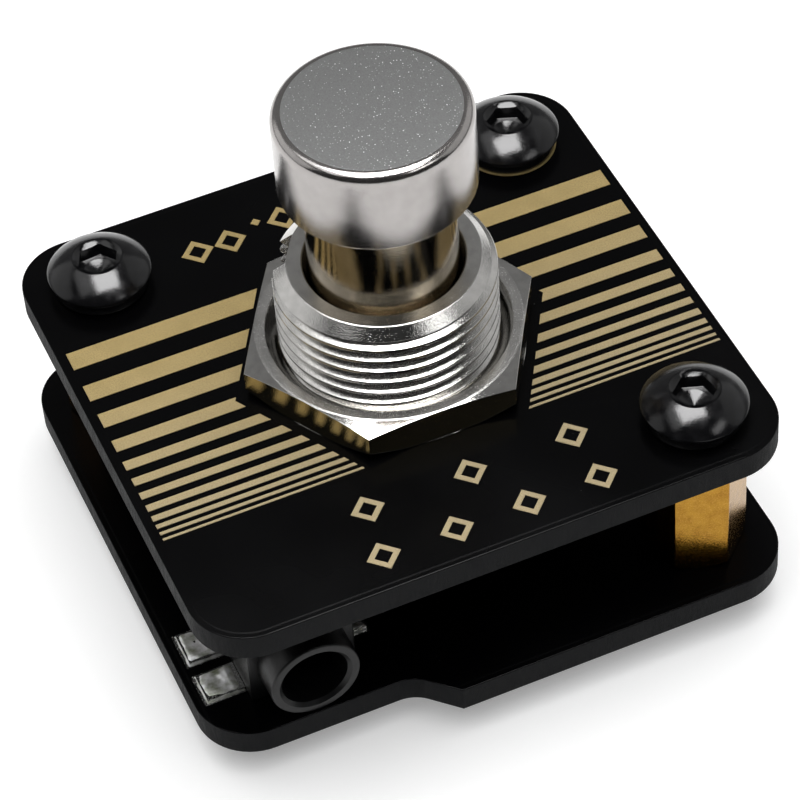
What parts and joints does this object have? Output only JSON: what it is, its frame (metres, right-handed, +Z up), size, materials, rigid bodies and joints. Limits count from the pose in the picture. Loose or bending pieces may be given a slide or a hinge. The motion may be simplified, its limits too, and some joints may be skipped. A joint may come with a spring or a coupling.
{
  "type": "morse key",
  "caption": "Push-button morse key made of two black circuit boards on brass standoffs, with a chromed plunger button and a plug jack.",
  "frame": {"origin": "middle of the footprint, on the surface that the feet stand on, under the push button's axis", "axes": "+Z up along the push button, -Y towards the jack's mouth, +X to the right seen from the jack's side"},
  "size_m": [0.033, 0.0318, 0.0309],
  "materials": {
    "solder_mask": "gloss black solder mask on glass-epoxy board",
    "gold_print": "matte immersion gold",
    "black_steel": "black oxide",
    "brass": "turned, bright",
    "rubber": "matte",
    "nickel": "nickel plated, lightly satin",
    "chrome": "polished, satin top face",
    "black_plastic": "moulded",
    "phenolic": "matte",
    "nylon": "matte",
    "copper": "bright",
    "spring_steel": "drawn wire",
    "solder": "reflowed solder, uneven"
  },
  "bodies": {
    "key_base": {"top_board": "solder_mask", "bottom_board": "solder_mask", "gold_bars": "gold_print", "gold_marks": "gold_print", "screw_pads": "gold_print", "top_screws": "black_steel", "bottom_screws": "black_steel", "standoffs": "brass", "feet": "rubber", "bush": "nickel", "bush_nut": "nickel", "switch_housing": "black_plastic", "switch_base": "phenolic", "terminals": "solder", "terminal_solder": "solder", "return_spring": "spring_steel", "jack_body": "black_plastic", "jack_tip_spring": "solder", "jack_ring_spring": "solder", "jack_sleeve_contact": "solder", "jack_pads": "solder", "jack_solder": "solder"},
    "button": {"plunger": "chrome", "button_cap": "chrome", "retaining_clip": "spring_steel", "contact_carrier": "nylon", "contact_ring": "copper"}
  },
  "joints": [
    {"name": "press", "type": "slide", "parent": "key_base", "child": "button", "axis": [0, 0, -1], "range_m": [0, 0.0024], "stiffness_N_per_m": 800, "springref_m": -0.003, "deforming": ["return_spring"]}
  ]
}
